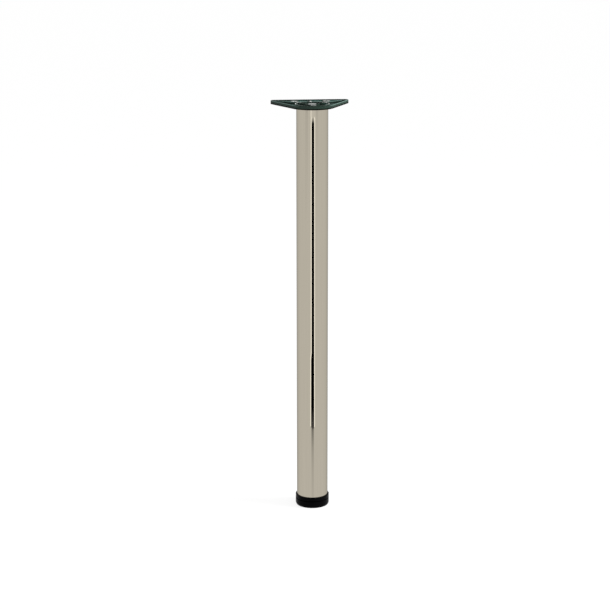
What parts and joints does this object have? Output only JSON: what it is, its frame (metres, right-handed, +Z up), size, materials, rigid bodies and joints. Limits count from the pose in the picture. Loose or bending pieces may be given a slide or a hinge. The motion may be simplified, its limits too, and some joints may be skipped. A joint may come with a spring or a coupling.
{
  "type": "table leg",
  "caption": "Round tubular table leg with a screw-on mounting plate on top and a turning foot below for levelling.",
  "frame": {"origin": "middle of the foot's underside, on the tube's axis", "axes": "+Z up the tube towards the mounting plate, +Y towards the plate's straight edge, +X along that edge"},
  "size_m": [0.1474, 0.1036, 0.785],
  "materials": {
    "plate_paint": "black powder coat with a green-grey cast, half gloss",
    "tube_chrome": "bright plated, warm grey, with sharp reflections along the tube",
    "zinc_hardware": "zinc plated",
    "plug_plastic": "moulded, matt black",
    "foot_plastic": "moulded, black, half gloss"
  },
  "bodies": {
    "leg": {"tube": "tube_chrome", "mounting_plate": "plate_paint", "plate_bolt": "zinc_hardware", "bolt_washer": "zinc_hardware", "lock_nut": "zinc_hardware", "top_plug": "plug_plastic", "top_nut": "zinc_hardware", "foot_sleeve": "foot_plastic", "foot_nut": "zinc_hardware"},
    "spindle": {"foot_spindle": "zinc_hardware"},
    "foot": {"foot_disc": "foot_plastic"}
  },
  "joints": [
    {"name": "foot_height", "type": "slide", "parent": "leg", "child": "spindle", "axis": [0, 0, -1], "range_m": [0, 0.024]},
    {"name": "foot_turn", "type": "hinge", "parent": "spindle", "child": "foot", "pos_m": [0, 0, 0], "axis": [0, 0, -1], "range_deg": [0, 5760]}
  ],
  "couplings": [
    {"joint": "foot_height", "follows": "foot_turn", "m_per_rad": 0.00023873}
  ]
}
